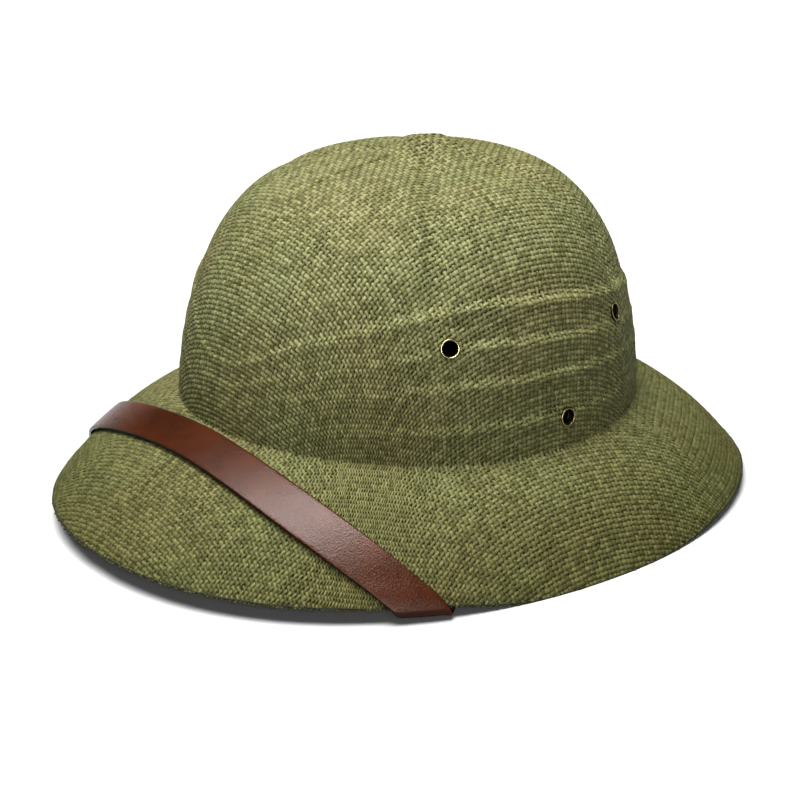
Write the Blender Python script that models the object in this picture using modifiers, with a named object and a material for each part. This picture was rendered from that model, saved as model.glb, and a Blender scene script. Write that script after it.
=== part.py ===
"""Straw jungle hat: a woven straw sun helmet with a leather chin strap and six eyelets.

The hat stands on the edge of its brim. Units are metres, +Z is up, the front of the hat
looks along -Y and the wearer's left side is at +X. The origin is on the table, under the
middle of the brim. Angles called turn start at the front and grow towards the wearer's left.
"""
import math

import bmesh
import bpy
from mathutils import Matrix, Vector

# The straw shell: crown and brim are blocked from one piece of weave
WALL = 0.0022              # thickness of the straw
BRIM_LENGTH = 0.346
BRIM_WIDTH = 0.291
BRIM_SQUARENESS = 2.12     # exponent of the outline, where 2 is an ellipse
BRIM_ROUNDING = 0.54       # how much of the brim's fall comes late, near its edge
BRIM_ROUNDING_POWER = 2.5
EDGE_LIFT = 0.0095         # height of the raised front edge above the table
EDGE_TRIM = 0.0005         # cut off where the edge lies flat on the table
CROWN_LENGTH = 0.222       # at the crease between crown and brim
CROWN_WIDTH = 0.210
CROWN_SQUARENESS = 2.0
CROWN_HEIGHT = 0.1616      # top of the crown above the table, without the boss
CROWN_SHOULDER = 1.88      # larger values keep the wall upright for longer
CROWN_FLATNESS = 3.7       # larger values make the top flatter
CROWN_SET_BACK = 0.0025    # crown centre behind the brim centre
CROWN_LEAN = 0.0025        # how much further back the apex is
CREASE_HEIGHT = 0.0495     # mean height of the crease above the table
CREASE_ARCH = 0.0016       # the crease is higher at front and back than at the sides
CREASE_PITCH = 0.0016      # and higher at the front than at the back
BOSS_HEIGHT = 0.0082       # raised middle of the top
BOSS_RADIUS = 0.0115

# The brim's edge is wavy: it lies on the table at both sides and at the back
EDGE_WAVE = (
    # turn in degrees, share of EDGE_LIFT
    (0, 1.00),
    (36, 0.84),
    (62, 0.64),
    (80, 0.00),
    (98, 0.00),
    (122, 0.42),
    (145, 0.56),
    (169, 0.00),
    (180, 0.00),
)

# Pleats blocked into the crown, each a small ledge, deepest at the sides
PLEAT_DEPTH = 0.0016
PLEAT_LEDGE = 0.0026       # height of the sloping ledge itself
PLEAT_DROOP = 0.0170       # how far the pleats sink from the sides to front and back
PLEAT_DROOP_SKEW = 1.3     # above 1 the droop is greatest above the middle of the crown
PLEAT_DROOP_TAPER = 1.5    # larger values confine the droop to those pleats
PLEAT_FRONT_SHARE = 0.22   # what is left of the depth at the front and back
PLEAT_SIDE_FOCUS = 2.5     # larger values confine the deep part to the sides
PLEAT_FADE = 0.0160        # height over which the wall above the top pleat evens out
PLEATS = (
    # share of the crown's rise above the crease, share of PLEAT_DEPTH
    (0.150, 0.75),
    (0.325, 0.90),
    (0.468, 1.00),
    (0.612, 1.00),
)
PLEAT_COURSE = (
    # turn in degrees, share of PLEAT_DROOP
    (0, 1.00),
    (26, 0.98),
    (48, 0.38),
    (72, 0.00),
    (96, 0.15),
    (122, 0.56),
    (150, 0.92),
    (180, 1.00),
)

# Four soft valleys run down from the boss between the side panels and front and back
GORE_TURN = math.radians(60)
GORE_DEPTH = 0.0018
GORE_WIDTH = 0.0085
GORE_LEVELS = (0.54, 0.74)  # shares of the rise where a valley begins and is full

# Eyelets: two upper and one lower vent on each side
EYELET_BORE = 0.0068
EYELET_METAL = 0.0004
EYELET_FLANGE = 0.0087
EYELET_ROLL = 0.0011       # height of the rolled rim outside
EYELET_BACK = 0.0007       # height of the spread rim inside
EYELET_PRESS = 0.0090      # the straw is pressed flat this far from an eyelet's centre
EYELETS = (
    # name, turn in degrees, share of the crown's rise, holds the strap
    ("front", 63.0, 0.468, False),
    ("rear", 119.0, 0.510, False),
    ("low", 94.0, 0.125, True),
)

# The leather chin strap
STRAP_WIDTH = 0.0200
STRAP_LEATHER = 0.0018
STRAP_SWEEP = 0.0437       # its upper edge would bend back this far at the brim's full width
STRAP_SWEEP_POWER = 3.2
STRAP_LIFT = 0.0012        # its lower edge stands off the brim
STRAP_TAIL = 0.0095        # leather beyond the hole that the low eyelet holds
STRAP_CLIMB = math.radians(38)  # slant of the strap where it climbs the wall inside

GAP = 0.0003               # clearance between pieces that touch
SEAT = 0.0005              # clearance where a piece follows a curved wall
RING_STEPS = 60
BRIM_ROWS = (1.0, 0.92, 0.80, 0.66, 0.52, 0.38, 0.24, 0.10)
DOME_ROWS = (0.83, 0.75, 0.66, 0.56, 0.46, 0.36, 0.27, 0.19, 0.12, 0.06)
EYELET_STEPS = 16
STRAP_STEPS_OVER = 14
STRAP_STEPS_RIM = 5
STRAP_STEPS_UNDER = 4
STRAP_STEPS_WALL = 6
SMALL_TURN = 1e-3          # step for reading a direction off a surface


def eased(x):
    """Smooth step from 0 to 1."""
    x = min(max(x, 0.0), 1.0)
    return x * x * (3 - 2 * x)


def table_share(rows, turn):
    """Smooth curve through a two-column table; both halves of the hat are alike.

    It neither overshoots a row nor leaves a level stretch, and is level at front and back."""
    angle = math.degrees(abs(math.remainder(turn, 2 * math.pi)))
    steps = [(b[1] - a[1]) / (b[0] - a[0]) for a, b in zip(rows, rows[1:])]
    slopes = [2 * a * b / (a + b) if a * b > 0 else 0.0 for a, b in zip(steps, steps[1:])]
    slopes = [0.0] + slopes + [0.0]
    i = min(sum(angle > row[0] for row in rows[1:]), len(rows) - 2)
    (start, low), (end, high) = rows[i], rows[i + 1]
    width = end - start
    t = (angle - start) / width
    return (low + (high - low) * t * t * (3 - 2 * t)
            + width * t * (1 - t) * (slopes[i] * (1 - t) - slopes[i + 1] * t))


def outline(turn, squareness):
    """Unit outline with rounded corners, as a point in plan."""
    s, c = math.sin(turn), math.cos(turn)
    power = 2 / squareness
    return math.copysign(abs(s) ** power, s), -math.copysign(abs(c) ** power, c)


def edge_point(turn):
    x, y = outline(turn, BRIM_SQUARENESS)
    z = EDGE_LIFT * table_share(EDGE_WAVE, turn) - EDGE_TRIM
    return Vector((x * BRIM_WIDTH / 2, y * BRIM_LENGTH / 2, z))


def crease_point(turn):
    x, y = outline(turn, CROWN_SQUARENESS)
    z = CREASE_HEIGHT + CREASE_ARCH * math.cos(2 * turn) + CREASE_PITCH * math.cos(turn)
    return Vector((x * CROWN_WIDTH / 2, y * CROWN_LENGTH / 2 + CROWN_SET_BACK, z))


def brim_point(turn, share):
    """Upper face of the brim, from the crease (share 0) to the edge (share 1)."""
    foot, edge = crease_point(turn), edge_point(turn)
    point = foot.lerp(edge, share)
    fall = (1 - BRIM_ROUNDING) * share + BRIM_ROUNDING * share ** BRIM_ROUNDING_POWER
    point.z = foot.z + (edge.z - foot.z) * fall
    return point


def rise():
    return CROWN_HEIGHT - CREASE_HEIGHT


def plain_crown_point(turn, level):
    """Crown without pleats; level runs from the crease (0) to the apex (1)."""
    arch = math.sin(math.pi * level ** PLEAT_DROOP_SKEW) ** PLEAT_DROOP_TAPER
    droop = PLEAT_DROOP / rise() * arch
    share = min(max(level - droop * table_share(PLEAT_COURSE, turn), 0.0), 1.0)
    radius = (1 - share ** CROWN_SHOULDER) ** (1 / CROWN_FLATNESS)
    x, y = outline(turn, CROWN_SQUARENESS)
    foot = crease_point(turn)
    return Vector((
        x * radius * CROWN_WIDTH / 2,
        y * radius * CROWN_LENGTH / 2 + CROWN_SET_BACK + CROWN_LEAN * share,
        foot.z + (CROWN_HEIGHT - foot.z) * share,
    ))


def crown_normal(turn, level):
    """Outward direction of the plain crown."""
    step = SMALL_TURN
    low, high = max(level - step, 0.0), min(level + step, 1 - step / 10)
    up = plain_crown_point(turn, high) - plain_crown_point(turn, low)
    along = plain_crown_point(turn + step, level) - plain_crown_point(turn - step, level)
    return along.cross(up).normalized()


def pleat_push(turn, level):
    """Outward offset of the wall at a pleat: out below each ledge, in above it."""
    half = PLEAT_LEDGE / rise() / 2
    fade = PLEAT_FADE / rise()
    side = abs(math.sin(turn)) ** PLEAT_SIDE_FOCUS
    strength = PLEAT_FRONT_SHARE + (1 - PLEAT_FRONT_SHARE) * side
    below, share_below = 0.0, 0.0
    value = 0.0
    for line, share in PLEATS:
        if level < line - half:
            t = (level - below) / (line - half - below)
            value = -share_below / 2 + (share_below + share) / 2 * t
            break
        if level <= line + half:
            value = share / 2 - share * (level - line + half) / (2 * half)
            break
        below, share_below = line + half, share
    else:
        value = -share_below / 2 * (1 - eased((level - below) / fade))
    return PLEAT_DEPTH * strength * value


def gore_dent(turn, level):
    """Inward offset of the wall in the four valleys."""
    side = math.pi / 2 - abs(math.pi / 2 - abs(math.remainder(turn, 2 * math.pi)))
    reach = plain_crown_point(turn, level) - plain_crown_point(0, 1)
    distance = (side - GORE_TURN) * math.hypot(reach.x, reach.y)
    start, full = GORE_LEVELS
    depth = GORE_DEPTH * eased((level - start) / (full - start))
    return depth * math.exp(-(distance / GORE_WIDTH) ** 2)


def flat_near_eyelets(point):
    """Pleats are pressed flat under the metal: 0 at an eyelet, 1 away from them all."""
    share = 1.0
    for _, angle, level, _ in EYELETS:
        seat = plain_crown_point(math.radians(angle), level)
        distance = (Vector((abs(point.x), point.y, point.z)) - seat).length
        share *= eased(distance / EYELET_PRESS - 1)
    return share


def crown_point(turn, level):
    """Outer face of the crown with its pleats, valleys and boss."""
    point = plain_crown_point(turn, level)
    push = pleat_push(turn, level) * flat_near_eyelets(point) - gore_dent(turn, level)
    apex = plain_crown_point(0, 1)
    reach = math.hypot(point.x - apex.x, point.y - apex.y)
    boss = BOSS_HEIGHT * math.exp(-(reach / BOSS_RADIUS) ** 2)
    out = crown_normal(turn, min(level, 1 - SMALL_TURN))
    return point + out * push + Vector((0, 0, boss))


def crown_levels():
    """Rows of the crown: one on each side of every ledge, and rings over the dome."""
    half = PLEAT_LEDGE / rise() / 2
    levels, below = [0.0], 0.0
    for line, _ in PLEATS:
        levels += [(below + line - half) / 2, line - half, line + half]
        below = line + half
    dome = [(1 - radius ** CROWN_FLATNESS) ** (1 / CROWN_SHOULDER) for radius in DOME_ROWS]
    return levels + [level for level in dome if level > below + half]


def ring_mesh(name, rings, tip=None):
    """Skin a stack of equal rings, closed around; the tip closes the last ring."""
    bm = bmesh.new()
    rows = [[bm.verts.new(point) for point in ring] for ring in rings]
    for low, high in zip(rows, rows[1:]):
        for i in range(len(low)):
            j = (i + 1) % len(low)
            bm.faces.new((low[i], low[j], high[j], high[i]))
    if tip is not None:
        top = bm.verts.new(tip)
        for i in range(len(rows[-1])):
            bm.faces.new((rows[-1][i], rows[-1][(i + 1) % len(rows[-1])], top))
    mesh = bpy.data.meshes.new(name)
    bm.to_mesh(mesh)
    bm.free()
    return mesh


def add_object(name, mesh, collection, material=None):
    thing = bpy.data.objects.new(name, mesh)
    collection.objects.link(thing)
    if material:
        mesh.materials.append(material)
    return thing


def add_cutter(name, mesh, collection):
    cutter = add_object(name, mesh, collection)
    cutter.hide_render = True
    cutter.display_type = "WIRE"
    return cutter


def cut(thing, cutter):
    modifier = thing.modifiers.new("cut by " + cutter.name, "BOOLEAN")
    modifier.operation = "DIFFERENCE"
    modifier.object = cutter


def cylinder_mesh(name, radius, length, steps):
    bm = bmesh.new()
    bmesh.ops.create_cone(bm, cap_ends=True, segments=steps, radius1=radius,
                          radius2=radius, depth=length)
    mesh = bpy.data.meshes.new(name)
    bm.to_mesh(mesh)
    bm.free()
    return mesh


def plain_material(name, colour, roughness, metallic=0.0):
    material = bpy.data.materials.new(name)
    material.use_nodes = True
    shader = material.node_tree.nodes["Principled BSDF"]
    shader.inputs["Base Color"].default_value = (*colour, 1)
    shader.inputs["Roughness"].default_value = roughness
    shader.inputs["Metallic"].default_value = metallic
    return material


def make_shell(parts, cutters):
    """Open outer skin, thickened inwards and trimmed flat where it meets the table."""
    turns = [2 * math.pi * i / RING_STEPS for i in range(RING_STEPS)]
    rings = [[brim_point(turn, share) for turn in turns] for share in BRIM_ROWS]
    rings += [[crown_point(turn, level) for turn in turns] for level in crown_levels()]
    straw = plain_material("olive straw", (0.17, 0.18, 0.07), 0.75)
    shell = add_object("straw_shell", ring_mesh("straw_shell", rings, crown_point(0, 1)),
                       parts, straw)
    shell.data.shade_smooth()
    wall = shell.modifiers.new("wall", "SOLIDIFY")
    wall.thickness = WALL
    wall.offset = -1
    wall.use_even_offset = True

    bm = bmesh.new()
    margin = WALL * 4
    size = Vector((BRIM_WIDTH + margin, BRIM_LENGTH + margin, margin))
    bmesh.ops.create_cube(bm, size=1)
    bmesh.ops.scale(bm, vec=size, verts=bm.verts)
    bmesh.ops.translate(bm, vec=(0, 0, -size.z / 2), verts=bm.verts)
    mesh = bpy.data.meshes.new("table_trim")
    bm.to_mesh(mesh)
    bm.free()
    cut(shell, add_cutter("table_trim", mesh, cutters))
    return shell


def eyelet_reach(holds_strap):
    """Depth of an eyelet's spread rim below the outer face of the straw."""
    if holds_strap:
        return WALL + strap_seat() + STRAP_LEATHER + SEAT
    return WALL + SEAT


def eyelet_profile(holds_strap):
    """Section of an eyelet, down its outer side and up its bore, as radius and height."""
    bore = EYELET_BORE / 2
    barrel = bore + EYELET_METAL
    flange = EYELET_FLANGE / 2
    inside = eyelet_reach(holds_strap)
    soft = EYELET_ROLL / 3
    return (
        (barrel, GAP + EYELET_ROLL),
        (flange - soft, GAP + EYELET_ROLL - soft / 2),
        (flange, GAP + soft),
        (flange - soft, GAP),
        (barrel, GAP),
        (barrel, -inside),
        (flange, -inside),
        (flange - soft, -inside - EYELET_BACK),
        (bore, -inside - EYELET_BACK),
        (bore, GAP + soft),
    )


def add_profile_ring(name, profile, collection, material):
    """A turned ring: a closed profile with a Screw modifier about the local Z axis."""
    mesh = bpy.data.meshes.new(name)
    points = [(radius, 0, height) for radius, height in profile]
    edges = [(i, (i + 1) % len(points)) for i in range(len(points))]
    mesh.from_pydata(points, edges, [])
    ring = add_object(name, mesh, collection, material)
    screw = ring.modifiers.new("turn", "SCREW")
    screw.axis = "Z"
    screw.steps = EYELET_STEPS
    screw.render_steps = EYELET_STEPS
    screw.use_merge_vertices = True
    screw.merge_threshold = 0.0001
    screw.use_smooth_shade = True
    return ring


def eyelet_places():
    """Name, place, outward direction and use of all six eyelets."""
    for side, sign in (("left", 1), ("right", -1)):
        for name, angle, level, holds_strap in EYELETS:
            turn = math.radians(angle)
            out = crown_normal(turn, level)
            point = plain_crown_point(turn, level) - out * gore_dent(turn, level)
            point.x *= sign
            out.x *= sign
            yield f"eyelet_{side}_{name}", point, out, holds_strap


def make_eyelets(shell, strap, parts, cutters):
    brass = plain_material("antique brass", (0.32, 0.25, 0.13), 0.35, 1.0)
    for name, point, out, holds_strap in eyelet_places():
        turned = out.to_track_quat("Z", "Y").to_matrix().to_4x4()
        ring = add_profile_ring(name, eyelet_profile(holds_strap), parts, brass)
        ring.matrix_world = Matrix.Translation(point) @ turned
        inside = eyelet_reach(holds_strap)
        radius = EYELET_BORE / 2 + EYELET_METAL + GAP
        mesh = cylinder_mesh("hole_" + name, radius, 4 * inside, EYELET_STEPS)
        cutter = add_cutter("hole_" + name, mesh, cutters)
        cutter.matrix_world = Matrix.Translation(point - out * inside / 2) @ turned
        cut(shell, cutter)
        if holds_strap:
            cut(strap, cutter)


def strap_seat():
    """Distance from the inner face of the straw to the strap, clear of the pleats."""
    return PLEAT_DEPTH / 2 + GAP


def brim_under(x, y):
    """Turn and share of the brim point above a plan point in the front left quarter."""
    low, high = 0.0, math.pi / 2
    for _ in range(40):
        middle = (low + high) / 2
        foot, edge = crease_point(middle), edge_point(middle)
        across = (edge.x - foot.x) * (y - foot.y) - (edge.y - foot.y) * (x - foot.x)
        if across > 0:
            low = middle
        else:
            high = middle
    foot, edge = crease_point(low), edge_point(low)
    reach = math.hypot(edge.x - foot.x, edge.y - foot.y)
    return low, math.hypot(x - foot.x, y - foot.y) / reach


def brim_frame(turn, share):
    """Point on the brim, its upward normal and the direction down the slope."""
    step = SMALL_TURN
    point = brim_point(turn, share)
    down = (brim_point(turn, share + step) - brim_point(turn, share - step)).normalized()
    along = (brim_point(turn + step, share) - brim_point(turn - step, share)).normalized()
    normal = down.cross(along).normalized()
    return point, normal, normal.cross(along).normalized() * -1


def upper_edge_plan(share):
    """Plan point of the strap's upper edge, from the front (0) to beyond the brim (1)."""
    start = crease_point(0).y - STRAP_LEATHER - 2 * GAP
    return share * BRIM_WIDTH / 2, start + STRAP_SWEEP * share ** STRAP_SWEEP_POWER


def slope_length(a, b):
    return (brim_point(*brim_under(*a)) - brim_point(*brim_under(*b))).length


def strap_plan(share, across):
    """Plan point of the strap; across runs from its upper edge (0) to its lower edge (1)."""
    x, y = upper_edge_plan(share)
    ahead = upper_edge_plan(share + SMALL_TURN)
    along = Vector((ahead[0] - x, ahead[1] - y)).normalized()
    low, high = 0.0, STRAP_WIDTH
    for _ in range(24):
        middle = (low + high) / 2
        there = (x + along.y * middle, y - along.x * middle)
        if slope_length((x, y), there) < STRAP_WIDTH * across:
            low = middle
        else:
            high = middle
    return x + along.y * low, y - along.x * low


def share_at_rim(across):
    """Where a line along the strap reaches the edge of the brim."""
    low, high = 0.0, 1.0
    for _ in range(24):
        middle = (low + high) / 2
        if brim_under(*strap_plan(middle, across))[1] < 1:
            low = middle
        else:
            high = middle
    return low


def strap_over_brim(across, steps):
    """Points of a line along the strap from the front to the edge of the brim."""
    end = share_at_rim(across)
    places = [brim_under(*strap_plan(end * i / steps, across)) for i in range(steps + 1)]
    lift = SEAT + (STRAP_LIFT - SEAT) * across ** 2
    points = []
    for i, (turn, share) in enumerate(places):
        point, normal, _ = brim_frame(turn, share)
        stand_off = SEAT + (lift - SEAT) * (1 - (i / steps) ** 4)
        points.append(point + normal * stand_off)
    return points, places


def strap_round_rim(places, steps):
    """Points of the same line round the rim of the wall, moving along as it goes under."""
    (turn_before, share_before), (turn, _) = places[-2:]
    down = (brim_point(turn, 1) - brim_point(turn, share_before)).length
    along = (brim_point(turn, 1) - brim_point(turn_before, 1)).length
    radius = WALL / 2 + SEAT
    drift = along / down * math.pi * radius / (edge_point(turn).length)
    points = []
    for i in range(1, steps + 1):
        angle = math.pi * (0.5 - i / steps)
        rim, normal, downhill = brim_frame(turn + drift * i / steps, 1)
        middle = rim - normal * WALL / 2
        points.append(middle + (downhill * math.cos(angle) + normal * math.sin(angle)) * radius)
    return points


def wall_inside(along, up):
    """Point of the strap's face on the inner wall, measured from under the low eyelet."""
    turn = math.radians(low_eyelet()[0]) + along / (CROWN_LENGTH / 2)
    level = up / rise()
    depth = WALL + strap_seat()
    wall = crown_normal(turn, level)
    if up > 0:
        return plain_crown_point(turn, level) - wall * depth
    _, brim, _ = brim_frame(turn, SMALL_TURN)
    bisector = (wall + brim).normalized()
    return crease_point(turn) - bisector * depth / bisector.dot(wall)


def low_eyelet():
    return next((angle, level) for _, angle, level, holds_strap in EYELETS if holds_strap)


def strap_up_wall(across, steps):
    """Points of a line along the strap from the inner crease to the strap's end."""
    height = low_eyelet()[1] * rise()
    aside = STRAP_WIDTH * (0.5 - across)
    crossing = -height / math.tan(STRAP_CLIMB) + aside / math.sin(STRAP_CLIMB)
    length = height / math.sin(STRAP_CLIMB) + STRAP_TAIL - aside / math.tan(STRAP_CLIMB)
    points = []
    for i in range(steps + 1):
        reach = length * i / steps
        points.append(wall_inside(crossing + reach * math.cos(STRAP_CLIMB),
                                  reach * math.sin(STRAP_CLIMB)))
    return points


def strap_line(across):
    """One line along the left half of the strap, from the front of the hat to its end."""
    over, places = strap_over_brim(across, STRAP_STEPS_OVER)
    rim = strap_round_rim(places, STRAP_STEPS_RIM)
    wall = strap_up_wall(across, STRAP_STEPS_WALL)
    under = [rim[-1].lerp(wall[0], i / STRAP_STEPS_UNDER) for i in range(1, STRAP_STEPS_UNDER)]
    over[0].x = 0.0
    return over + rim + under + wall


def make_strap(parts):
    """Left half of the strap's face next to the hat, mirrored and thickened outwards."""
    bm = bmesh.new()
    lines = [[bm.verts.new(point) for point in strap_line(across)] for across in (0, 0.5, 1)]
    for high, low in zip(lines, lines[1:]):
        for i in range(len(high) - 1):
            bm.faces.new((high[i], low[i], low[i + 1], high[i + 1]))
    mesh = bpy.data.meshes.new("chin_strap")
    bm.to_mesh(mesh)
    bm.free()
    leather = plain_material("brown leather", (0.11, 0.035, 0.022), 0.4)
    strap = add_object("chin_strap", mesh, parts, leather)
    mirror = strap.modifiers.new("right half", "MIRROR")
    mirror.use_axis[0] = True
    mirror.merge_threshold = 0.0001
    thick = strap.modifiers.new("leather", "SOLIDIFY")
    thick.thickness = STRAP_LEATHER
    thick.offset = 1
    thick.use_even_offset = True
    return strap


def new_collection(name):
    collection = bpy.data.collections.new(name)
    bpy.context.scene.collection.children.link(collection)
    return collection


def main():
    for thing in list(bpy.data.objects):
        bpy.data.objects.remove(thing)
    parts = new_collection("straw jungle hat")
    cutters = new_collection("cutters")
    shell = make_shell(parts, cutters)
    strap = make_strap(parts)
    make_eyelets(shell, strap, parts, cutters)
    hat = bpy.data.objects.new("straw_jungle_hat", None)
    parts.objects.link(hat)
    for thing in parts.objects:
        if thing is not hat:
            thing.parent = hat


main()
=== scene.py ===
# %% [markdown]
# # A straw jungle hat
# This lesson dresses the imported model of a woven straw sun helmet. The model comes in as a
# fixed frame: smooth solids of the right size and place. Here the straw gets real yarns, woven
# over and under each other, the strap gets leather with worked edges, and the vents get
# turned brass. Lengths are in metres, +Z is up, the front of the hat looks along -Y, and the
# wearer's left side is at +X.

# %% Load the frame
import math

import bpy
import numpy as np
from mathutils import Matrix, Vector, kdtree


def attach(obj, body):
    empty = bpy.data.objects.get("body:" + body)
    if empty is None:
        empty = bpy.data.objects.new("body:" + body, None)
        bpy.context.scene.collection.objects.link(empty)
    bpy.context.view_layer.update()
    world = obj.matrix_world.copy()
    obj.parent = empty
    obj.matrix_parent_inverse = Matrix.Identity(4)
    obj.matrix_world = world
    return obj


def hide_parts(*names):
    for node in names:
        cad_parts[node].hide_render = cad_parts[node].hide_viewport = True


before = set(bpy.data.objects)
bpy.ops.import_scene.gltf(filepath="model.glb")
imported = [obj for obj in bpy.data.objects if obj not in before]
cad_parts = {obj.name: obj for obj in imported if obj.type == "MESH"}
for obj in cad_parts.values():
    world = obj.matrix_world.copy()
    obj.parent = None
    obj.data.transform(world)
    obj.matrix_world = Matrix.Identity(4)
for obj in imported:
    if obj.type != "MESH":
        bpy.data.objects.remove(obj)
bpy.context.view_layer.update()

for node in sorted(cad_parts):
    print("frame node:", node)

# %% [markdown]
# ## The camera
# A photograph of a product is taken from a little above with a long lens, so that the shape
# isn't stretched. A camera is placed by its direction from the object, its distance and its
# lens. Turning it with a quaternion that looks along one line keeps it level.

# %% Camera
CAMERA_AZIMUTH = math.radians(52.15)
CAMERA_HEIGHT = math.radians(20.6)
CAMERA_DISTANCE = 1.0906
CAMERA_LENS = 102.4        # mm
CAMERA_SENSOR = 36         # mm, its width
CAMERA_SIDE = -0.00217     # the picture's middle, sideways from the hat's middle
CAMERA_LOOK_HEIGHT = 0.0413

back = Vector((
    math.sin(CAMERA_AZIMUTH) * math.cos(CAMERA_HEIGHT),
    -math.cos(CAMERA_AZIMUTH) * math.cos(CAMERA_HEIGHT),
    math.sin(CAMERA_HEIGHT),
))
sideways = Vector((math.cos(CAMERA_AZIMUTH), math.sin(CAMERA_AZIMUTH), 0))
target = sideways * CAMERA_SIDE + Vector((0, 0, CAMERA_LOOK_HEIGHT))
lens = bpy.data.cameras.new("camera")
lens.lens = CAMERA_LENS
lens.sensor_width = CAMERA_SENSOR
camera = bpy.data.objects.new("camera", lens)
bpy.context.scene.collection.objects.link(camera)
camera.location = target + back * CAMERA_DISTANCE
camera.rotation_euler = back.to_track_quat("Z", "Y").to_euler()
bpy.context.scene.camera = camera
print("camera at", [round(v, 3) for v in camera.location])

# %% [markdown]
# ## Helpers for materials
# Colours are picked as sRGB hex values, as on a screen, but a shader works with linear light.
# One function turns one into the other. The others add a node and fill its sockets, so that
# each material below reads as a list of what it is made of.

# %% Colour and node helpers
def linear(hex_colour):
    """sRGB hex to linear RGBA."""
    values = [int(hex_colour[i:i + 2], 16) / 255 for i in (1, 3, 5)]
    return (*[v / 12.92 if v <= 0.04045 else ((v + 0.055) / 1.055) ** 2.4 for v in values], 1)


def fill_sockets(material, node, **sockets):
    """Give each socket of a node a value, or a link from another node's output."""
    for name, value in sockets.items():
        key = int(name[1:]) if name[0] == "_" else name.replace("_", " ")
        if isinstance(value, bpy.types.NodeSocket):
            material.node_tree.links.new(value, node.inputs[key])
        else:
            node.inputs[key].default_value = value


def add_node(material, kind, output=0, settings=None, **sockets):
    """Add a node with its settings and links, and return one of its outputs."""
    node = material.node_tree.nodes.new(kind)
    for name, value in (settings or {}).items():
        setattr(node, name, value)
    fill_sockets(material, node, **sockets)
    return node.outputs[output]


def new_material(name):
    """An empty Principled material; returns it with its shader node."""
    material = bpy.data.materials.new(name)
    material.use_nodes = True
    return material, material.node_tree.nodes["Principled BSDF"]


PLACES, ATTRIBUTE, NOISE = "ShaderNodeTexCoord", "ShaderNodeAttribute", "ShaderNodeTexNoise"
MATH, MIX = "ShaderNodeMath", "ShaderNodeMix"
RANGE, BUMP = "ShaderNodeMapRange", "ShaderNodeBump"
COLOURS = {"data_type": "RGBA"}
DYE_OR_SHADE_OVER = {"data_type": "RGBA", "blend_type": "MULTIPLY"}
TIMES = {"operation": "MULTIPLY"}
TIMES_ADD = {"operation": "MULTIPLY_ADD"}
print("mid grey is", round(linear("#808080")[0], 3), "in linear light")

# %% [markdown]
# ## Floor and light
# A product picture has a pale floor and large soft lights. A sun lamp with a wide angle is
# the simplest of them: it is as strong everywhere, so the floor stays even, and its shadows
# are soft. The main one stands overhead, a little to the left, where it gleams on the strap.
# It brightens what faces up and leaves the walls deep in colour, and a weaker one in front
# opens the shadows. The grey floor turns white in this light: white paper would throw more
# light up at the walls. A picture's tone curve is deeper than plain light, so the view's
# gamma is set a little under 1.

# %% Floor
FLOOR_SIZE = 30
floor_paint, floor_shader = new_material("matt studio paper")
fill_sockets(floor_paint, floor_shader, Base_Color=linear("#767676"), Roughness=0.9)
floor_mesh = bpy.data.meshes.new("floor")
half = FLOOR_SIZE / 2
floor_mesh.from_pydata([(-half, -half, 0), (half, -half, 0), (half, half, 0), (-half, half, 0)],
                       [], [(0, 1, 2, 3)])
floor_mesh.materials.append(floor_paint)
floor = bpy.data.objects.new("floor", floor_mesh)
bpy.context.scene.collection.objects.link(floor)
print("floor", FLOOR_SIZE, "m square")

# %% Lights
SOFTBOXES = (
    # name, sideways, up and towards the camera, strength, angle that it spans in degrees
    ("overhead softbox", -0.15, 0.97, 0.04, 16.8, 45),
    ("front softbox", 0.05, 0.30, 0.95, 5.2, 30),
)
WORLD_STRENGTH = 0.08
VIEW_GAMMA = 0.78

near = Vector((math.sin(CAMERA_AZIMUTH), -math.cos(CAMERA_AZIMUTH), 0))
for name, aside, height, closer, strength, angle in SOFTBOXES:
    light = bpy.data.lights.new(name, "SUN")
    light.energy = strength
    light.angle = math.radians(angle)
    lamp = bpy.data.objects.new(name, light)
    bpy.context.scene.collection.objects.link(lamp)
    toward_light = near * closer + sideways * aside + Vector((0, 0, height))
    lamp.rotation_euler = toward_light.to_track_quat("Z", "Y").to_euler()
    print(name, "from", [round(v, 2) for v in toward_light.normalized()])
world = bpy.data.worlds.new("white studio")
world.use_nodes = True
world.node_tree.nodes["Background"].inputs["Color"].default_value = (1, 1, 1, 1)
world.node_tree.nodes["Background"].inputs["Strength"].default_value = WORLD_STRENGTH
bpy.context.scene.world = world
bpy.context.scene.view_settings.view_transform = "Standard"
bpy.context.scene.view_settings.gamma = VIEW_GAMMA

# %% [markdown]
# ## The shape of the hat as a function
# A hat like this is woven flat or blocked wet over a form, so its yarns follow its surface.
# To lay yarns on it, the surface has to be a function of two numbers, not a mesh. The same
# named sizes as in the model give it: an oval brim that slopes down, and a dome with four
# small pleats, four soft valleys and a boss on top. Everything is worked out for whole
# arrays at once, because there are many thousand crossings.

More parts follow.
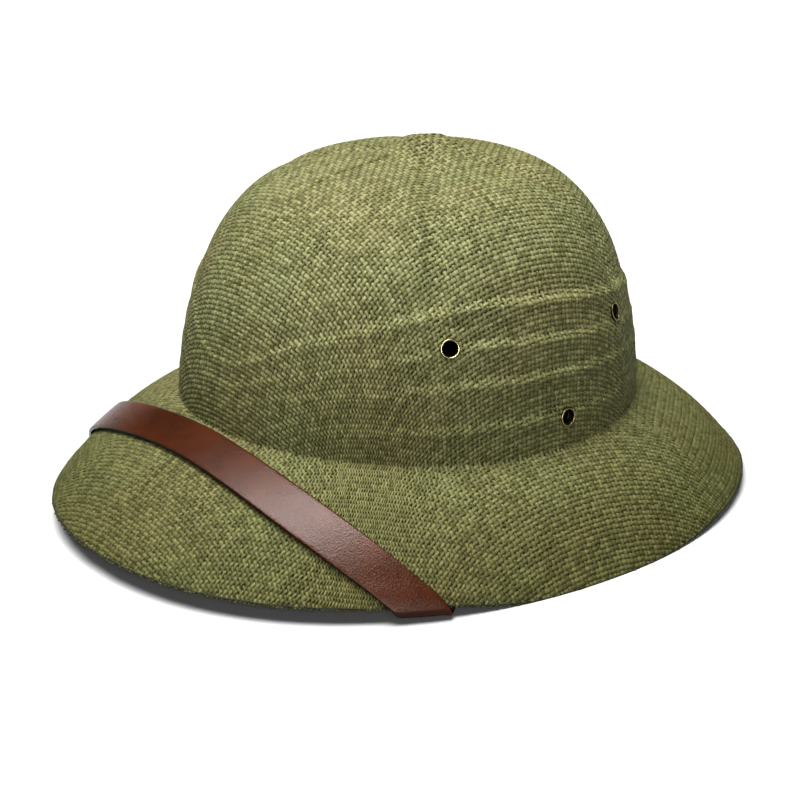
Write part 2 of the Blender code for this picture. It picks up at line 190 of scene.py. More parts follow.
# %% Sizes of the shell
WALL = 0.0022
BRIM_LENGTH = 0.346
BRIM_WIDTH = 0.291
BRIM_SQUARENESS = 2.12
BRIM_ROUNDING = 0.54
BRIM_ROUNDING_POWER = 2.5
BRIM_CURL = 0.0007         # swell of the straw just inside the edge, which curls down from it
BRIM_CURL_START = 0.85
EDGE_LIFT = 0.0095
EDGE_TRIM = 0.0005
CROWN_LENGTH = 0.222
CROWN_WIDTH = 0.210
CROWN_HEIGHT = 0.1616
CROWN_SHOULDER = 1.88
CROWN_FLATNESS = 3.7
CROWN_SET_BACK = 0.0025
CROWN_LEAN = 0.0025
CREASE_HEIGHT = 0.0495
CREASE_ARCH = 0.0016
CREASE_PITCH = 0.0016
BOSS_HEIGHT = 0.0101
BOSS_RADIUS = 0.0180
BOSS_SET_BACK = 0.0065     # behind the apex, where the valleys meet
RISE = CROWN_HEIGHT - CREASE_HEIGHT
STEP = 1e-3                # of a turn or a share, to find directions by
TINY = 1e-12               # keeps a divisor from being zero

EDGE_WAVE = (
    # turn in degrees, share of EDGE_LIFT
    (0, 1.00), (36, 0.84), (62, 0.64), (80, 0.00), (98, 0.00),
    (122, 0.42), (145, 0.56), (169, 0.00), (180, 0.00),
)

# %% Smooth steps and curves through short tables
def eased(x):
    """Smooth step from 0 to 1."""
    x = np.clip(x, 0, 1)
    return x * x * (3 - 2 * x)


def from_front(turn):
    """Angle between a turn and the front, alike on both halves of the hat."""
    return np.abs(np.arctan2(np.sin(turn), np.cos(turn)))


def table_share(rows, turn):
    """Smooth curve through a two-column table of angles and shares."""
    angle = np.degrees(from_front(turn))
    places, shares = np.array(rows, float).T
    steps = np.diff(shares) / np.diff(places)
    before, after = steps[:-1], steps[1:]
    total = np.where(before + after == 0, 1, before + after)
    slopes = np.where(before * after > 0, 2 * before * after / total, 0)
    slopes = np.concatenate([[0], slopes, [0]])
    i = np.clip(np.searchsorted(places, angle, side="left") - 1, 0, len(places) - 2)
    width = places[i + 1] - places[i]
    t = (angle - places[i]) / width
    return (shares[i] + (shares[i + 1] - shares[i]) * t * t * (3 - 2 * t)
            + width * t * (1 - t) * (slopes[i] * (1 - t) - slopes[i + 1] * t))

# %% The brim
def outline(turn, squareness):
    """Unit outline with rounded corners; turn 0 is the front, and grows to the left."""
    s, c = np.sin(turn), np.cos(turn)
    power = 2 / squareness
    return np.sign(s) * np.abs(s) ** power, -np.sign(c) * np.abs(c) ** power


def edge_point(turn):
    x, y = outline(turn, BRIM_SQUARENESS)
    z = EDGE_LIFT * table_share(EDGE_WAVE, turn) - EDGE_TRIM
    return np.stack([x * BRIM_WIDTH / 2, y * BRIM_LENGTH / 2, z], -1)


def crease_point(turn):
    x, y = outline(turn, 2)
    z = CREASE_HEIGHT + CREASE_ARCH * np.cos(2 * turn) + CREASE_PITCH * np.cos(turn)
    return np.stack([x * CROWN_WIDTH / 2, y * CROWN_LENGTH / 2 + CROWN_SET_BACK, z], -1)


def brim_point(turn, share):
    """Upper face of the brim, from the crease (share 0) to the edge (share 1)."""
    foot, edge = crease_point(turn), edge_point(turn)
    point = foot + (edge - foot) * share[..., None]
    late = np.sign(share) * np.abs(share) ** BRIM_ROUNDING_POWER
    fall = (1 - BRIM_ROUNDING) * share + BRIM_ROUNDING * late
    late = np.clip((share - BRIM_CURL_START) / (1 - BRIM_CURL_START), 0, 1)
    swell = BRIM_CURL * 6.75 * late ** 2 * (1 - late)    # 6.75 makes its highest point 1
    point[..., 2] = foot[..., 2] + (edge[..., 2] - foot[..., 2]) * fall + swell
    return point


print("edge at the front", edge_point(np.array(0.0)).round(4))

# %% Sizes of the pleats and valleys
PLEAT_DEPTH = 0.0021
PLEAT_LEDGE = 0.0036
PLEAT_TUCK = 0.0060        # height below a ledge in which most of the swelling stands
PLEAT_TUCK_SHARE = -0.10   # offset where the tuck starts, as a share of the pleat's depth
PLEAT_DROOP = 0.0170
PLEAT_DROOP_SKEW = 1.3
PLEAT_DROOP_TAPER = 1.5
PLEAT_DIP = 0.20           # how far the pleats dip at the front, as a share of the rise
PLEAT_DIP_TURN = math.radians(30)
PLEAT_DIP_FADE = 0.08
PLEAT_FRONT_SHARES = (0.15, 0.35)    # depth left at the front: lower pleats, top pleat
PLEAT_SIDE_FOCUS = (6.0, 2.5)        # how fast they fade towards it, the same two
PLEAT_TOP_LEVELS = (0.50, 0.56)
PLEAT_FADE = 0.0160
PLEATS = (
    # share of the crown's rise above the crease, share of PLEAT_DEPTH
    (0.150, 0.80), (0.322, 0.95), (0.465, 1.05), (0.610, 1.10),
)
PLEAT_COURSE = (
    # turn in degrees, share of PLEAT_DROOP
    (0, 1.00), (26, 0.98), (48, 0.38), (72, 0.00),
    (96, 0.15), (122, 0.56), (150, 0.92), (180, 1.00),
)
VALLEY_TURN = math.radians(54.5)
VALLEY_DEPTH = 0.0018
VALLEY_WIDTH = 0.0085
VALLEY_LEVELS = (0.50, 0.72)
FOLD_DEPTH = 0.0016        # sharp fold along the middle of a valley
FOLD_WIDTH = 0.0040
FOLD_CLEARS_BOSS = 0.016

# %% The plain crown
def plain_crown_point(turn, level):
    """Crown without pleats; level runs from the crease (0) to the apex (1)."""
    arch = np.clip(np.sin(np.pi * level ** PLEAT_DROOP_SKEW), 0, 1) ** PLEAT_DROOP_TAPER
    droop = PLEAT_DROOP / RISE * arch
    share = np.clip(level - droop * table_share(PLEAT_COURSE, turn), 0, 1)
    radius = (1 - share ** CROWN_SHOULDER) ** (1 / CROWN_FLATNESS)
    x, y = outline(turn, 2)
    foot = crease_point(turn)
    return np.stack([
        x * radius * CROWN_WIDTH / 2,
        y * radius * CROWN_LENGTH / 2 + CROWN_SET_BACK + CROWN_LEAN * share,
        foot[..., 2] + (CROWN_HEIGHT - foot[..., 2]) * share,
    ], -1)


def unit(vectors):
    return vectors / np.maximum(np.linalg.norm(vectors, axis=-1, keepdims=True), TINY)


def crown_normal(turn, level):
    """Outward direction of the plain crown."""
    low, high = np.maximum(level - STEP, 0), np.minimum(level + STEP, 1 - STEP / 10)
    climb = plain_crown_point(turn, high) - plain_crown_point(turn, low)
    along = plain_crown_point(turn + STEP, level) - plain_crown_point(turn - STEP, level)
    return unit(np.cross(along, climb))


APEX = plain_crown_point(np.array(0.0), np.array(1.0))
BOSS = APEX + (0, BOSS_SET_BACK, 0)
print("apex at", APEX.round(4))

# %% [markdown]
# ## Vents
# Each side has two upper vents and a low one, all brass eyelets. The straw is pressed flat
# under their metal, and the yarns are cut where the hole goes through, so their places come
# before the pleats and the weave.

# %% Places of the vents
EYELET_BORE = 0.0068
EYELET_METAL = 0.0004
EYELET_FLANGE = 0.0087
EYELET_PRESS = 0.0052      # radius of the straw pressed flat under an eyelet
EYELETS = (
    # name, turn in degrees, share of the crown's rise, holds the strap
    ("front", 63.0, 0.468, False),
    ("rear", 119.0, 0.510, False),
    ("low", 94.0, 0.125, True),
)


def valley_depth(point, level):
    """Inward offset of the wall in the four valleys."""
    aside, ahead = np.abs(point[..., 0] - BOSS[0]), np.abs(point[..., 1] - BOSS[1])
    reach = np.hypot(aside, ahead)
    distance = (np.arctan2(aside, ahead) - VALLEY_TURN) * reach
    start, full = VALLEY_LEVELS
    valley = VALLEY_DEPTH * np.exp(-(distance / VALLEY_WIDTH) ** 2)
    fold = FOLD_DEPTH * eased(reach / FOLD_CLEARS_BOSS)
    fold = fold * np.exp(-(distance / FOLD_WIDTH) ** 2)
    return (valley + fold) * eased((level - start) / (full - start))


vents = []
for side, sign in (("left", 1), ("right", -1)):
    for name, angle, level, holds_strap in EYELETS:
        turn, height = np.array(math.radians(angle)), np.array(level)
        seat = plain_crown_point(turn, height)
        out = crown_normal(turn, height)
        seat = seat - out * valley_depth(seat, height)
        mirror = np.array([sign, 1, 1])
        vents.append((f"eyelet_{side}_{name}", seat * mirror, out * mirror, holds_strap))
        print(vents[-1][0], "at", (seat * mirror).round(4))

# %% [markdown]
# ## Pleats, boss and the whole surface
# A pleat is a small ledge: the wall swells out under it and is drawn in above it, so light
# from above catches the ledge and leaves the tuck below it dark. The surface is then a
# function of a point on a flat plane, whose distance from the middle is the distance to walk
# down from the apex, and whose direction is the direction to walk in.

# %% The finished crown
def pleat_push(turn, level):
    """Outward offset of the wall at a pleat: out below each ledge, in above it."""
    ledge_half, fade, tuck = PLEAT_LEDGE / RISE / 2, PLEAT_FADE / RISE, PLEAT_TUCK / RISE
    places, offsets = [0.0], [0.0]
    before = 0.0
    for line, share in PLEATS:
        offsets[-1] = -before / 2
        places += [line - ledge_half - tuck, line - ledge_half, line + ledge_half]
        offsets += [share * PLEAT_TUCK_SHARE, share / 2, -share / 2]
        before = share
    dipped = level + PLEAT_DIP * eased(1 - from_front(turn) / PLEAT_DIP_TURN)
    push = np.interp(dipped, places, offsets) * eased(level / PLEAT_DIP_FADE)
    above = dipped - places[-1]
    push = np.where(above > 0, -before / 2 * (1 - eased(above / fade)), push)
    start, full = PLEAT_TOP_LEVELS
    top = eased((dipped - start) / (full - start))
    front = PLEAT_FRONT_SHARES[0] * (1 - top) + PLEAT_FRONT_SHARES[1] * top
    focus = PLEAT_SIDE_FOCUS[0] * (1 - top) + PLEAT_SIDE_FOCUS[1] * top
    return PLEAT_DEPTH * (front + (1 - front) * np.abs(np.sin(turn)) ** focus) * push


def flat_near_vents(point):
    """0 at a vent, 1 away from them all."""
    share = np.ones(point.shape[:-1])
    for _, seat, _, _ in vents:
        distance = np.linalg.norm(point - seat, axis=-1)
        share = share * eased(distance / EYELET_PRESS - 1)
    return share


def crown_point(turn, level):
    """Outer face of the crown with its pleats, valleys and boss."""
    point = plain_crown_point(turn, level)
    push = pleat_push(turn, level) * flat_near_vents(point) - valley_depth(point, level)
    reach = np.hypot(point[..., 0] - BOSS[0], point[..., 1] - BOSS[1])
    out = crown_normal(turn, np.minimum(level, 1 - STEP))
    point = point + out * push[..., None]
    point[..., 2] += BOSS_HEIGHT * np.exp(-(reach / BOSS_RADIUS) ** 2)
    return point


print("top of the boss at", crown_point(np.array(0.0), np.array(1.0)).round(4))

# %% From a flat plane to the surface
PROFILE_STEPS = 4000
BRIM_REACH = 0.066         # nominal walk from the crease to the edge
NORMAL_STEP = 0.0003
profile_radius = np.linspace(0, 1, PROFILE_STEPS)
profile_level = (1 - profile_radius ** CROWN_FLATNESS) ** (1 / CROWN_SHOULDER)
walk_out = profile_radius * (CROWN_WIDTH + CROWN_LENGTH) / 4
walk_down = RISE * profile_level
profile_walk = np.concatenate([[0], np.cumsum(np.hypot(np.diff(walk_out), np.diff(walk_down)))])
CROWN_REACH = profile_walk[-1]


def walk(plane):
    """How far to walk from the apex to a point of the plane."""
    return np.hypot(plane[..., 0], plane[..., 1])


def brim_share(plane):
    """How far out on the brim a point of the plane lies: 0 at the crease, 1 at the edge."""
    return (walk(plane) - CROWN_REACH) / BRIM_REACH


def surface(plane, crown=plain_crown_point):
    """Point of the hat for a point of the plane."""
    reach, turn = walk(plane), np.arctan2(plane[..., 0], -plane[..., 1])
    level = np.interp(np.minimum(reach, CROWN_REACH), profile_walk, profile_level)
    on_brim = brim_point(turn, np.maximum(brim_share(plane), 0))
    return np.where((reach > CROWN_REACH)[..., None], on_brim, crown(turn, level))


def slopes(plane, step, crown=plain_crown_point):
    """Change of the surface over a step either way along each axis of the plane."""
    return [surface(plane + nudge, crown) - surface(plane - nudge, crown)
            for nudge in ((step, 0), (0, step))]


def surface_normal(plane):
    """Outward direction of the finished surface."""
    return unit(np.cross(*slopes(plane, NORMAL_STEP, crown_point)))


print("walk from apex to crease %.1f mm" % (CROWN_REACH * 1000))

# %% [markdown]
# ## The net of crossings
# Cloth can shear but hardly stretch: when a plain weave is pressed over a dome, the distance
# between crossings stays and the angle between the yarns changes. That is why the weave is
# square down the front, back and sides, and stretched into diamonds between them. The net
# starts from four yarn lines through the apex. Each further crossing is the point one
# spacing away from two neighbours, found by Newton's method for a whole diagonal at a time.

# %% Solve the net
PITCH = 0.00235            # yarn spacing of the real weave
COUNT = 132                # crossings from the apex, enough to pass the edge
NEWTON_STEPS = 12
SLOPE_STEP = 0.0001
LARGEST_MISS = 1e-8        # square metres, between two squared spacings
LINE_END = 1.3             # how far out on the brim the first lines go; 1 is the edge
NET_END = 1.25             # and the net
LINE_SAMPLES = 6000
OFF_THE_HAT = 9.0          # metres, in place of a missing crossing


def apex_line(turn):
    """Crossings at even steps down one line from the apex."""
    direction = np.array([math.sin(turn), -math.cos(turn)])
    reach = np.linspace(0, CROWN_REACH + BRIM_REACH * LINE_END, LINE_SAMPLES)
    points = surface(reach[:, None] * direction)
    walked = np.linalg.norm(np.diff(points, axis=0), axis=1)
    walked = np.concatenate([[0], np.cumsum(walked)])
    return np.interp(np.arange(COUNT) * PITCH, walked, reach)[:, None] * direction


def next_crossings(a, b, opposite):
    """Points one spacing from both a and b, on the far side from their common neighbour."""
    at_a, at_b, guess = surface(a), surface(b), a + b - opposite
    for _ in range(NEWTON_STEPS):
        here = surface(guess)
        slope_x, slope_y = (slope / (2 * SLOPE_STEP) for slope in slopes(guess, SLOPE_STEP))
        to_a, to_b = here - at_a, here - at_b
        miss_a = (to_a ** 2).sum(-1) - PITCH ** 2
        miss_b = (to_b ** 2).sum(-1) - PITCH ** 2
        a_x, a_y = 2 * (to_a * slope_x).sum(-1), 2 * (to_a * slope_y).sum(-1)
        b_x, b_y = 2 * (to_b * slope_x).sum(-1), 2 * (to_b * slope_y).sum(-1)
        size = a_x * b_y - a_y * b_x
        step = np.stack([miss_b * a_y - miss_a * b_y, miss_a * b_x - miss_b * a_x], -1)
        step = step / size[..., None]
        length = np.linalg.norm(step, axis=-1, keepdims=True)
        guess = guess + step * np.minimum(1, PITCH / 2 / np.maximum(length, TINY))
    good = (np.abs(miss_a) < LARGEST_MISS) & (brim_share(guess) < NET_END)
    return np.where((good & np.isfinite(guess).all(-1))[:, None], guess, np.nan)


def net_quarter(turn_a, turn_b):
    """Crossings between two lines through the apex, as a square array of plane points."""
    net = np.full((COUNT, COUNT, 2), np.nan)
    net[:, 0], net[0, :] = apex_line(turn_a), apex_line(turn_b)
    for diagonal in range(2, 2 * COUNT - 1):
        i = np.arange(max(1, diagonal - COUNT + 1), min(diagonal, COUNT))
        j = diagonal - i
        known = np.isfinite(net[i - 1, j]).all(-1) & np.isfinite(net[i, j - 1]).all(-1)
        i, j = i[known], j[known]
        if len(i):
            net[i, j] = next_crossings(net[i - 1, j], net[i, j - 1], net[i - 1, j - 1])
    return net


# one row a yarn that runs from front to back, one column a yarn that runs from side to side
front_left = net_quarter(math.pi / 2, 0)
rear_left = net_quarter(math.pi / 2, math.pi)
left_half = np.concatenate([rear_left[:, :0:-1], front_left], axis=1)
right_half = left_half[:0:-1] * (-1, 1)
net = np.concatenate([right_half, left_half], axis=0)
on_hat = np.isfinite(net).all(-1) & (brim_share(np.nan_to_num(net, nan=OFF_THE_HAT)) <= 1)
print("crossings on the hat:", int(on_hat.sum()))

# %% Uneven hand weave
YARN_WANDER = 0.035        # share of the spacing that a whole yarn lies off its place
CROSSING_WANDER = 0.030    # the same for a single crossing
WANDER_SEED = 3

wander = np.random.default_rng(WANDER_SEED)
rows, columns = net.shape[:2]
row_slip = wander.normal(0, YARN_WANDER, (rows, 1))
column_slip = wander.normal(0, YARN_WANDER, (1, columns))
row_slip = row_slip + wander.normal(0, CROSSING_WANDER, (rows, columns))
column_slip = column_slip + wander.normal(0, CROSSING_WANDER, (rows, columns))
net = (net + np.gradient(net, axis=0) * row_slip[..., None]
       + np.gradient(net, axis=1) * column_slip[..., None])
on_hat &= np.isfinite(net).all(-1)
print("uneven crossings:", int(on_hat.sum()))

# %% [markdown]
# ## Yarns
# Each yarn is a flat paper or straw twist that passes over one neighbour and under the next.
# Bump mapping could only hint at that. At this scale every crossing is several pixels wide,
# so the yarns are real ribbons with an arched section, and light, shadow and the dark
# holes between them come by themselves. A ribbon has one section under each neighbour and
# three over it, so that the raised part is full and not a plain wave.

# %% Sections of a yarn
YARN_TOP = (0.00020, 0.00026)   # crest above the model's face: side to side, front to back
YARN_LOW = -0.00075        # the same yarn where it passes under
YARN_HALF = (0.00110, 0.00113)  # half the width of a yarn that lies free, the same two
YARN_CROWDED = 0.475       # half the width as a share of the gap, where yarns are crowded
YARN_UNEVEN = 0.10         # spread of the width from yarn to yarn and along each one
YARN_SHOULDER = 0.35       # of the spacing, from the crest to the shoulder
YARN_SHOULDER_HEIGHT = 0.68
YARN_DROP = 0.00075        # how far the yarn's sides curve down
YARN_SHADE_SHARE = 0.20    # how much of a brick's own shade it has from its whole yarn
YARN_SEED = 11
PAINTED_BRIM_SHADE_START = 0.55 * CROWN_REACH    # walk from the apex to where the painted shade of the brim begins
RUN_STEP = 0.0002          # step along a yarn to find its direction by
SHORTEST_PIECE = 1e-6      # as a share of the spacing
YARN_SECTION = (
    # share of the half width, share of YARN_DROP
    (-1.0, 1.0), (-0.62, 0.15), (0.62, 0.15), (1.0, 1.0),
)


def clearance_width(net_row_axis):
    """Half width of the yarns that run along an axis: they narrow where the net is sheared."""
    points = surface(net)
    run = np.gradient(points, axis=net_row_axis)
    step = np.gradient(points, axis=1 - net_row_axis)
    gap = np.linalg.norm(np.cross(run, step), axis=-1)
    gap = gap / np.maximum(np.linalg.norm(run, axis=-1), TINY)
    return np.minimum(YARN_HALF[net_row_axis], YARN_CROWDED * gap)


def swap(array, axis):
    return array if axis == 1 else np.swapaxes(array, 0, 1)


def painted_brim_shade_share(plane):
    """Share of the painted shade that darkens the straw: 0 on the top of the crown, 1 at the
    edge of the brim.
    """
    return np.clip((walk(plane) - PAINTED_BRIM_SHADE_START) / (CROWN_REACH + BRIM_REACH - PAINTED_BRIM_SHADE_START), 0, 1)


def yarn_mesh_data(axis, seed):
    """Vertices and faces of all yarns that run along one axis of the net.

    The last three arrays give each vertex its shade, its place across the yarn and how far
    down the hat it lies."""
    plane = swap(net, axis)
    inside = swap(on_hat, axis)
    known = np.isfinite(plane).all(-1)
    width = swap(clearance_width(axis), axis)
    rows, columns = plane.shape[:2]
    random = np.random.default_rng(seed)
    width = width * random.normal(1, YARN_UNEVEN, (rows, 1))
    width = width * random.normal(1, YARN_UNEVEN, (rows, columns))
    r, c = np.nonzero((inside[:, :-1] | inside[:, 1:]) & known[:, :-1] & known[:, 1:])
    start, end = plane[r, c], plane[r, c + 1]
    start_share, end_share = brim_share(start), brim_share(end)
    # parity decides which yarn is on top, and the two directions take turns
    start_over = (r + c + axis) % 2 == 0
    over, under = (0, YARN_SHOULDER, 1), (0, 1 - YARN_SHOULDER, 1)
    span = np.where(start_over[:, None], over, under)
    over, under = (1, YARN_SHOULDER_HEIGHT, -1), (-1, YARN_SHOULDER_HEIGHT, 1)
    level = np.where(start_over[:, None], over, under)
    with np.errstate(divide="ignore", invalid="ignore"):
        crossing = (1 - start_share) / (end_share - start_share)
    leaves, enters = end_share > 1, start_share > 1
    limit_high = np.where(leaves, crossing, 1.0)
    limit_low = np.where(enters, crossing, 0.0)
    clipped = np.clip(span, limit_low[:, None], limit_high[:, None])
    height_at = np.stack([np.interp(clipped[n], span[n], level[n]) if (leaves | enters)[n]
                          else level[n] for n in range(len(r))])
    top = YARN_TOP[axis]
    middle, swing = (top + YARN_LOW) / 2, (top - YARN_LOW) / 2
    height = middle + swing * height_at
    place = start[:, None] + (end - start)[:, None] * clipped[..., None]
    half_width = width[r, c][:, None] * (1 - clipped) + width[r, c + 1][:, None] * clipped
    # neighbours share the section at a crossing, so a yarn stays one smooth band; a section
    # between two crossings or at the edge of the brim has a number of its own, below zero
    own_key = -np.arange(1, len(r) + 1)
    edge_key = own_key - 10 * rows * columns
    node_key = np.stack([r * columns + c, own_key, r * columns + c + 1], -1)
    node_key[:, 2] = np.where(leaves, edge_key, node_key[:, 2])
    node_key[:, 0] = np.where(enters, edge_key, node_key[:, 0])
    _, first, section = np.unique(node_key.ravel(), return_index=True, return_inverse=True)
    place = place.reshape(-1, 2)[first]
    height = height.ravel()[first]
    half_width = half_width.ravel()[first]
    owner = np.repeat(r, 3)[first]
    ahead = np.repeat(end - start, 3, axis=0)[first]
    ahead = ahead / np.linalg.norm(ahead, axis=-1, keepdims=True) * RUN_STEP
    out = surface_normal(place)
    run = unit(surface(place + ahead, crown_point) - surface(place - ahead, crown_point))
    aside = unit(np.cross(run, out))
    corners = len(YARN_SECTION)
    across, drop = np.array(YARN_SECTION).T
    drop = drop * YARN_DROP
    centre = surface(place, crown_point)
    points = (centre[:, None] + aside[:, None] * (half_width[:, None] * across)[..., None]
              + out[:, None] * (height[:, None] - drop)[..., None])
    section = section.reshape(-1, 3)
    faces = []
    for first_end, second_end in ((0, 1), (1, 2)):
        real = clipped[:, second_end] - clipped[:, first_end] > SHORTEST_PIECE
        a, b = section[real, first_end] * corners, section[real, second_end] * corners
        for k in range(corners - 1):
            faces.append(np.stack([a + k, a + k + 1, b + k + 1, b + k], -1))
    brick = np.stack([c, np.where(start_over, c, c + 1), c + 1], -1).ravel()[first]
    whole_yarn = random.uniform(0, 1, rows)
    each_brick = random.uniform(0, 1, (rows, columns + 1))
    shade = YARN_SHADE_SHARE * whole_yarn[owner]
    shade = shade + (1 - YARN_SHADE_SHARE) * each_brick[owner, brick]
    return (points.reshape(-1, 3), np.concatenate(faces), np.repeat(shade, corners),
            np.tile(across, len(owner)), np.repeat(painted_brim_shade_share(place), corners))


print("half width of the yarns, in mm:", [round(half * 1000, 2) for half in YARN_HALF])

# %% [markdown]
# ## Cutting the straw for the vents
# The holes are cut by hand in the mesh: a face inside the hole is dropped, and a corner that
# reaches into it is pushed out to its rim. The flange of the eyelet covers the cut.

# %% Cut the holes
HOLE_CLEARANCE = 0.00025
HOLE_RADIUS = EYELET_BORE / 2 + EYELET_METAL + HOLE_CLEARANCE
HOLE_DEPTH = 0.006


def cut_vents(points, faces):
    """Open the vents in a mesh given as arrays, and rest its lowest points on the table."""
    points = points.copy()
    points[:, 2] = np.maximum(points[:, 2], 0)
    inside = np.zeros(len(points), bool)
    for _, seat, out, _ in vents:
        away = points - seat
        depth = away @ out
        flat = away - depth[:, None] * out
        distance = np.linalg.norm(flat, axis=-1)
        near = (distance < HOLE_RADIUS) & (np.abs(depth) < HOLE_DEPTH)
        inside |= near
        scale = HOLE_RADIUS / np.maximum(distance[near], TINY)
        points[near] = seat + flat[near] * scale[:, None] + depth[near, None] * out
    return points, faces[~inside[faces].all(-1)]


def band_faces(rings, corners, closed=False):
    """Quads between rings of corners that follow one another."""
    here = np.arange(rings if closed else rings - 1)[:, None] * corners
    there = (here + corners) % (rings * corners)
    corner = np.arange(corners)
    after = (corner + 1) % corners
    quads = [here + corner, there + corner, there + after, here + after]
    return np.stack(quads, -1).reshape(-1, 4)


def build_mesh(name, points, faces, values, material):
    """An object from arrays, smooth, with one float attribute for each named value."""
    used, corners = np.unique(faces, return_inverse=True)
    points, corners = points[used], corners.reshape(faces.shape)
    mesh = bpy.data.meshes.new(name)
    mesh.vertices.add(len(points))
    mesh.vertices.foreach_set("co", points.astype(np.float32).ravel())
    mesh.loops.add(corners.size)
    mesh.loops.foreach_set("vertex_index", corners.astype(np.int32).ravel())
    mesh.polygons.add(len(corners))
    sides = corners.shape[1]
    mesh.polygons.foreach_set("loop_start", np.arange(len(corners), dtype=np.int32) * sides)
    mesh.polygons.foreach_set("use_smooth", np.ones(len(corners), bool))
    mesh.update(calc_edges=True)
    for label, value in values.items():
        layer = mesh.attributes.new(label, "FLOAT", "POINT")
        layer.data.foreach_set("value", value[used].astype(np.float32))
    mesh.materials.append(material)
    thing = bpy.data.objects.new(name, mesh)
    bpy.context.scene.collection.objects.link(thing)
    print(name, len(points), "vertices,", len(corners) * (sides - 2), "triangles")
    return thing


print("holes %.1f mm wide in the straw" % (HOLE_RADIUS * 2000))

# %% [markdown]
# ## Straw materials
# Hats of this kind are woven from dyed palm straw or twisted paper: matt fibres with a faint
# waxy sheen. Dyeing is never even, so each visible brick of yarn has its own shade of olive,
# and whole parts of the hat lean to green or to brown. A yarn's flanks are painted darker
# than its crest: painted shade, where they lie in the shadow of the neighbours. The colour is
# also painted darker from the pleats to the edge of the brim: painted shade for the brim.

# %% Dyed straw yarn
YARN_FIBRE = 0.0007        # drawn coarser than the real fibres, which would not show
DYE_PATCH = 0.045          # size of the cloudy changes in the dye
SHADE_WEIGHT = 0.7         # how much the shade of a brick counts beside its fibres
SHADE_LIMITS = (0.30, 1.35)    # the sum that gives the darkest tone, and the lightest
CLOUD_LIMITS = (0.34, 0.66)    # the noise that gives the greenest straw, and the brownest
FLANK_SHADE = 0.75         # how far the flanks of a yarn are painted towards the dark colour, as painted shade

straw, straw_shader = new_material("dyed straw, twisted and plain woven")
position = add_node(straw, PLACES, "Object")
shade, across, painted_brim_shade = (add_node(straw, ATTRIBUTE, "Fac", {"attribute_name": name})
                       for name in ("shade", "across", "painted_brim_shade"))
patches = add_node(straw, NOISE, "Fac", Vector=position, Scale=1 / DYE_PATCH, Detail=3.0)
fibres = add_node(straw, NOISE, "Fac", Vector=position, Scale=1 / YARN_FIBRE, Detail=2.0)
mixed = add_node(straw, MATH, 0, TIMES_ADD, _0=shade, _1=SHADE_WEIGHT, _2=fibres)
spread = add_node(straw, RANGE, _0=mixed, _1=SHADE_LIMITS[0], _2=SHADE_LIMITS[1])
tone = add_node(straw, MIX, 2, COLOURS, _0=spread, _6=linear("#323317"), _7=linear("#69684F"))
cloud = add_node(straw, RANGE, _0=patches, _1=CLOUD_LIMITS[0], _2=CLOUD_LIMITS[1])
hue = add_node(straw, MIX, 2, COLOURS, _0=cloud, _6=linear("#FAFFF6"), _7=linear("#FFF9F0"))
dyed = add_node(straw, MIX, 2, DYE_OR_SHADE_OVER, _0=1.0, _6=tone, _7=hue)
# painted shade: the yarns are multiplied darker from the pleats to the edge of the brim,
# standing in for the brim turning away from the overhead light
with_painted_brim_shade = add_node(straw, MIX, 2, DYE_OR_SHADE_OVER, _0=painted_brim_shade, _6=dyed, _7=linear("#C4C4AC"))
# painted shade: the flanks of each yarn are darkened towards a near black olive, where the
# neighbours shadow them
painted_flank_shade = add_node(straw, MATH, 0, TIMES, _0=across, _1=across)
painted_flank_shade = add_node(straw, MATH, 0, TIMES, _0=painted_flank_shade, _1=FLANK_SHADE)
yarn_colour = add_node(straw, MIX, 2, COLOURS, _0=painted_flank_shade, _6=with_painted_brim_shade, _7=linear("#171809"))
relief = add_node(straw, BUMP, Height=fibres, Strength=0.35, Distance=0.0002)
fill_sockets(straw, straw_shader, Base_Color=yarn_colour, Normal=relief, Roughness=0.55,
             Specular_IOR_Level=0.12, IOR=1.45)
print("yarn material", straw.name)

# %% Straw wall behind the yarns
backing, backing_shader = new_material("dyed straw, in the shade of the weave")
row, column, painted_gap_shade_input = (add_node(backing, ATTRIBUTE, "Fac", {"attribute_name": name})
                            for name in ("row", "column", "painted_gap_shade"))
waves = []
for coordinate in (row, column):
    angle = add_node(backing, MATH, 0, TIMES, _0=coordinate, _1=math.pi)
    waves.append(add_node(backing, MATH, 0, {"operation": "SINE"}, _0=angle))
weave = add_node(backing, MATH, 0, TIMES, _0=waves[0], _1=waves[1])
weave = add_node(backing, MATH, 0, {"operation": "ABSOLUTE"}, _0=weave)
inner = add_node(backing, MIX, 2, COLOURS, _0=weave, _6=linear("#1B1B0C"), _7=linear("#555440"))
# painted shade: the outer face, seen only through the holes of the weave, is painted nearly
# black, and the rolled edge nearly as dark
skin_colour = add_node(backing, MIX, 2, COLOURS, _0=painted_gap_shade_input, _6=inner, _7=linear("#13140A"))
relief = add_node(backing, BUMP, Height=weave, Strength=0.9, Distance=0.0006)
fill_sockets(backing, backing_shader, Base_Color=skin_colour, Normal=relief, Roughness=0.7,
             Specular_IOR_Level=0.2)
print("wall material", backing.name)

# %% [markdown]
# ## Weave the yarns
# The yarns of the two directions go into two objects each, so that no single mesh grows too
# large. They ride on the hat's one body and stand for the smooth shell of the model.

